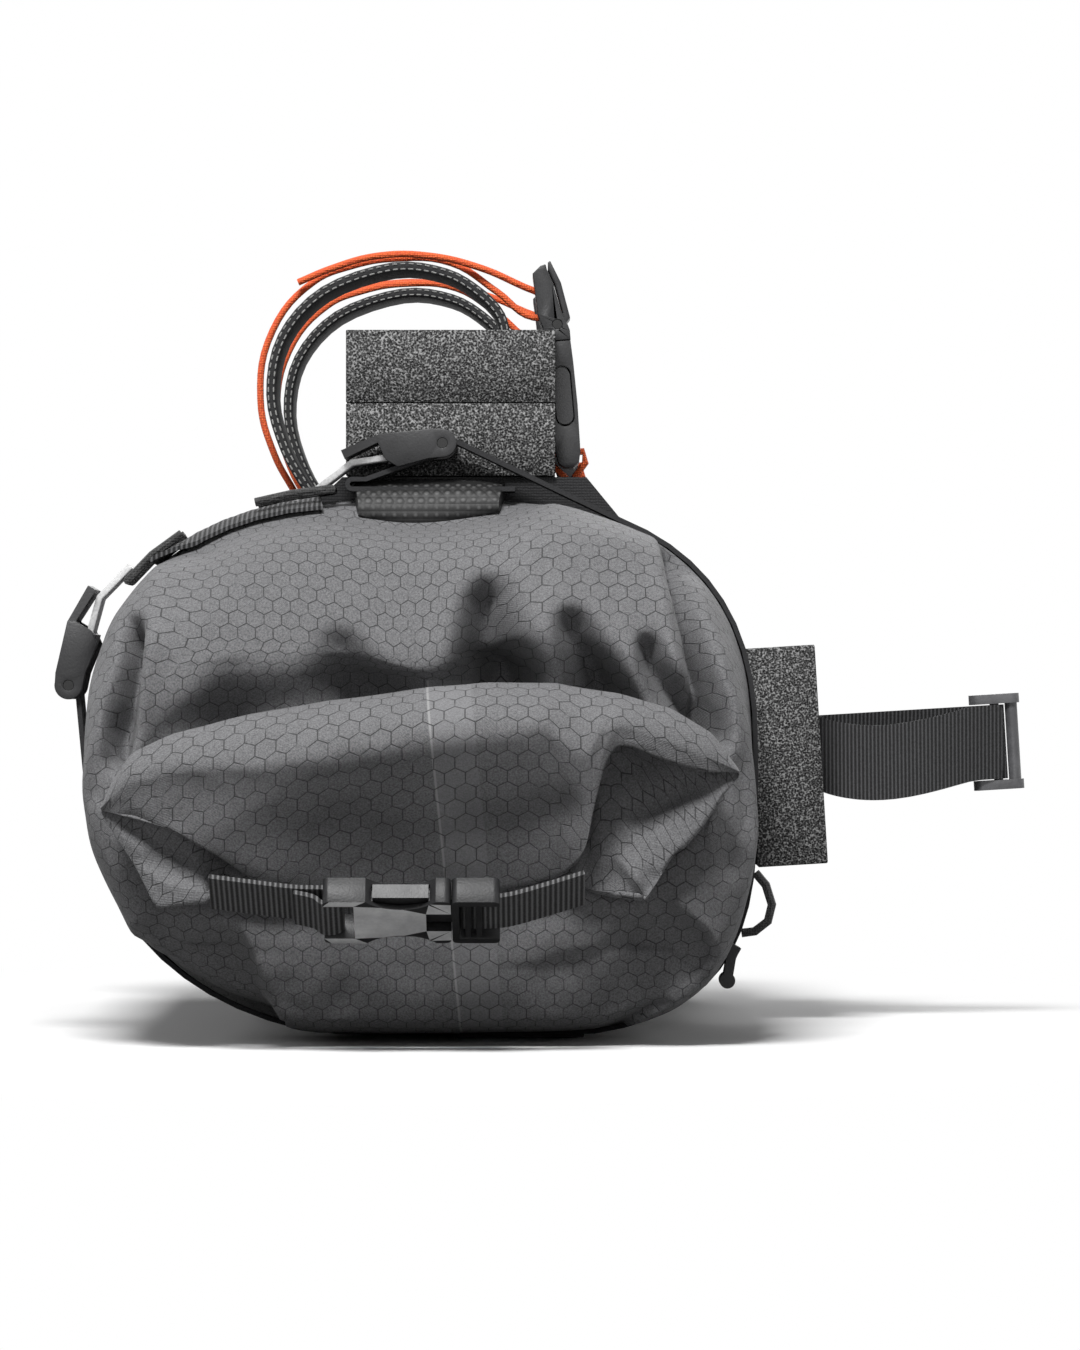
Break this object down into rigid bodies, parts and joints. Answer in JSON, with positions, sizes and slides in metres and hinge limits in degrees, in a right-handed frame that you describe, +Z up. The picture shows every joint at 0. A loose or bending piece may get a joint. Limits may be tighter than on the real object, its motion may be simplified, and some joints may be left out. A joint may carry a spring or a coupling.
{
  "type": "handlebar bag",
  "caption": "Roll-top bicycle luggage bag with quick-release handlebar mounts, cam tensioners and a head tube strap.",
  "frame": {"origin": "middle of the underside of the skid patch, on the plane that the bag rests on", "axes": "+X back to the bicycle, +Y along the bag to the rider's right, +Z up"},
  "size_m": [0.3187, 0.4196, 0.2536],
  "materials": {
    "ripstop": "matt honeycomb ripstop cloth",
    "black_cloth": "matt coated cloth",
    "black_webbing": "ribbed webbing",
    "grey_webbing": "ribbed webbing",
    "foam": "speckled closed-cell foam",
    "black_plastic": "fine moulded texture",
    "grey_plastic": "fine moulded texture",
    "hook_metal": "brushed",
    "pin_steel": "plain",
    "orange_cord": "braided",
    "black_cord": "braided elastic",
    "stiff_sheet": "smooth sheet"
  },
  "bodies": {
    "bag": {"bag_shell": "ripstop", "left_roll": "ripstop", "right_roll": "ripstop", "roll_battens": "stiff_sheet", "stiffener_sheet": "stiff_sheet", "back_panel": "black_cloth", "base_patch": "black_cloth", "left_compression_strap": "black_webbing", "right_compression_strap": "black_webbing", "strap_keepers": "black_webbing", "strap_sleeves": "black_cloth", "tensioner_pins": "pin_steel", "hook_webbings": "grey_webbing", "hook_loops": "black_cord", "left_mount_base": "black_cloth", "right_mount_base": "black_cloth", "left_foam_pads": "foam", "right_foam_pads": "foam", "left_bar_strap": "black_webbing", "right_bar_strap": "black_webbing", "left_bar_socket": "black_plastic", "right_bar_socket": "black_plastic", "anchor_cords": "orange_cord", "head_spacer": "foam", "head_strap": "black_webbing", "left_closure_socket": "grey_plastic", "right_closure_socket": "grey_plastic", "closure_straps_fixed": "black_webbing", "rear_cord_loops": "black_cord", "rear_tabs": "grey_plastic"},
    "left_top_lever": {"left_top_tensioner": "black_plastic", "left_top_hook": "hook_metal"},
    "left_front_lever": {"left_front_tensioner": "black_plastic", "left_front_hook": "hook_metal"},
    "left_bar_release": {"left_bar_plug": "black_plastic", "left_cam_pin": "pin_steel", "left_bar_cord": "orange_cord"},
    "left_cam": {"left_cam_lever": "black_plastic"},
    "left_bar_prong_outer_arm": {"left_bar_prong_outer": "black_plastic"},
    "left_bar_prong_inner_arm": {"left_bar_prong_inner": "black_plastic"},
    "left_closure_release": {"left_closure_plug": "grey_plastic", "left_closure_strap_free": "black_webbing"},
    "left_closure_prong_upper_arm": {"left_closure_prong_upper": "grey_plastic"},
    "left_closure_prong_lower_arm": {"left_closure_prong_lower": "grey_plastic"},
    "right_top_lever": {"right_top_tensioner": "black_plastic", "right_top_hook": "hook_metal"},
    "right_front_lever": {"right_front_tensioner": "black_plastic", "right_front_hook": "hook_metal"},
    "right_bar_release": {"right_bar_plug": "black_plastic", "right_cam_pin": "pin_steel", "right_bar_cord": "orange_cord"},
    "right_cam": {"right_cam_lever": "black_plastic"},
    "right_bar_prong_outer_arm": {"right_bar_prong_outer": "black_plastic"},
    "right_bar_prong_inner_arm": {"right_bar_prong_inner": "black_plastic"},
    "right_closure_release": {"right_closure_plug": "grey_plastic", "right_closure_strap_free": "black_webbing"},
    "right_closure_prong_upper_arm": {"right_closure_prong_upper": "grey_plastic"},
    "right_closure_prong_lower_arm": {"right_closure_prong_lower": "grey_plastic"},
    "head_slider": {"slider": "grey_plastic"}
  },
  "joints": [
    {"name": "left_top_lever_swing", "type": "hinge", "parent": "bag", "child": "left_top_lever", "pos_m": [0.0068, -0.104, 0.18978], "axis": [0, 1, 0], "range_deg": [0, 60]},
    {"name": "left_front_lever_swing", "type": "hinge", "parent": "bag", "child": "left_front_lever", "pos_m": [-0.11253, -0.104, 0.1124], "axis": [0, -1, 0], "range_deg": [0, 60]},
    {"name": "left_bar_release_slide", "type": "slide", "parent": "bag", "child": "left_bar_release", "axis": [-0.0872, 0, 0.9962], "range_m": [0, 0.03], "deforming": ["left_bar_cord", "left_bar_prong_outer", "left_bar_prong_inner"]},
    {"name": "left_cam_swing", "type": "hinge", "parent": "left_bar_release", "child": "left_cam", "pos_m": [0.04363, -0.068, 0.22973], "axis": [0, 1, 0], "range_deg": [0, 75]},
    {"name": "left_bar_prong_outer_squeeze", "type": "hinge", "parent": "left_bar_release", "child": "left_bar_prong_outer_arm", "pos_m": [0.04401, -0.0765, 0.22419], "axis": [0.9962, 0, 0.0872], "range_deg": [0, 7], "stiffness_Nm_per_rad": 0.02},
    {"name": "left_bar_prong_inner_squeeze", "type": "hinge", "parent": "left_bar_release", "child": "left_bar_prong_inner_arm", "pos_m": [0.04401, -0.0595, 0.22419], "axis": [-0.9962, 0, -0.0872], "range_deg": [0, 7], "stiffness_Nm_per_rad": 0.02},
    {"name": "left_closure_release_slide", "type": "slide", "parent": "bag", "child": "left_closure_release", "axis": [1, 0, 0], "range_m": [0, 0.026], "deforming": ["left_closure_strap_free", "left_closure_prong_upper", "left_closure_prong_lower"]},
    {"name": "left_closure_prong_upper_squeeze", "type": "hinge", "parent": "left_closure_release", "child": "left_closure_prong_upper_arm", "pos_m": [0.0108, -0.20302, 0.04755], "axis": [0, -0.5, -0.866], "range_deg": [0, 6], "stiffness_Nm_per_rad": 0.02},
    {"name": "left_closure_prong_lower_squeeze", "type": "hinge", "parent": "left_closure_release", "child": "left_closure_prong_lower_arm", "pos_m": [0.0108, -0.18898, 0.03945], "axis": [0, 0.5, 0.866], "range_deg": [0, 6], "stiffness_Nm_per_rad": 0.02},
    {"name": "right_top_lever_swing", "type": "hinge", "parent": "bag", "child": "right_top_lever", "pos_m": [0.0068, 0.104, 0.18978], "axis": [0, 1, 0], "range_deg": [0, 60]},
    {"name": "right_front_lever_swing", "type": "hinge", "parent": "bag", "child": "right_front_lever", "pos_m": [-0.11253, 0.104, 0.1124], "axis": [0, -1, 0], "range_deg": [0, 60]},
    {"name": "right_bar_release_slide", "type": "slide", "parent": "bag", "child": "right_bar_release", "axis": [-0.0872, 0, 0.9962], "range_m": [0, 0.03], "deforming": ["right_bar_cord", "right_bar_prong_outer", "right_bar_prong_inner"]},
    {"name": "right_cam_swing", "type": "hinge", "parent": "right_bar_release", "child": "right_cam", "pos_m": [0.04363, 0.068, 0.22973], "axis": [0, 1, 0], "range_deg": [0, 75]},
    {"name": "right_bar_prong_outer_squeeze", "type": "hinge", "parent": "right_bar_release", "child": "right_bar_prong_outer_arm", "pos_m": [0.04401, 0.0765, 0.22419], "axis": [-0.9962, 0, -0.0872], "range_deg": [0, 7], "stiffness_Nm_per_rad": 0.02},
    {"name": "right_bar_prong_inner_squeeze", "type": "hinge", "parent": "right_bar_release", "child": "right_bar_prong_inner_arm", "pos_m": [0.04401, 0.0595, 0.22419], "axis": [0.9962, 0, 0.0872], "range_deg": [0, 7], "stiffness_Nm_per_rad": 0.02},
    {"name": "right_closure_release_slide", "type": "slide", "parent": "bag", "child": "right_closure_release", "axis": [1, 0, 0], "range_m": [0, 0.026], "deforming": ["right_closure_strap_free", "right_closure_prong_upper", "right_closure_prong_lower"]},
    {"name": "right_closure_prong_upper_squeeze", "type": "hinge", "parent": "right_closure_release", "child": "right_closure_prong_upper_arm", "pos_m": [0.0108, 0.20302, 0.04755], "axis": [0, -0.5, 0.866], "range_deg": [0, 6], "stiffness_Nm_per_rad": 0.02},
    {"name": "right_closure_prong_lower_squeeze", "type": "hinge", "parent": "right_closure_release", "child": "right_closure_prong_lower_arm", "pos_m": [0.0108, 0.18898, 0.03945], "axis": [0, 0.5, -0.866], "range_deg": [0, 6], "stiffness_Nm_per_rad": 0.02},
    {"name": "head_slider_slide", "type": "slide", "parent": "bag", "child": "head_slider", "axis": [-0.9981, 0, -0.061], "range_m": [0, 0.025], "deforming": ["head_strap"]}
  ],
  "couplings": [
    {"joint": "left_bar_prong_inner_squeeze", "follows": "left_bar_prong_outer_squeeze", "ratio": 1},
    {"joint": "left_closure_prong_lower_squeeze", "follows": "left_closure_prong_upper_squeeze", "ratio": 1},
    {"joint": "right_bar_prong_inner_squeeze", "follows": "right_bar_prong_outer_squeeze", "ratio": 1},
    {"joint": "right_closure_prong_lower_squeeze", "follows": "right_closure_prong_upper_squeeze", "ratio": 1}
  ]
}
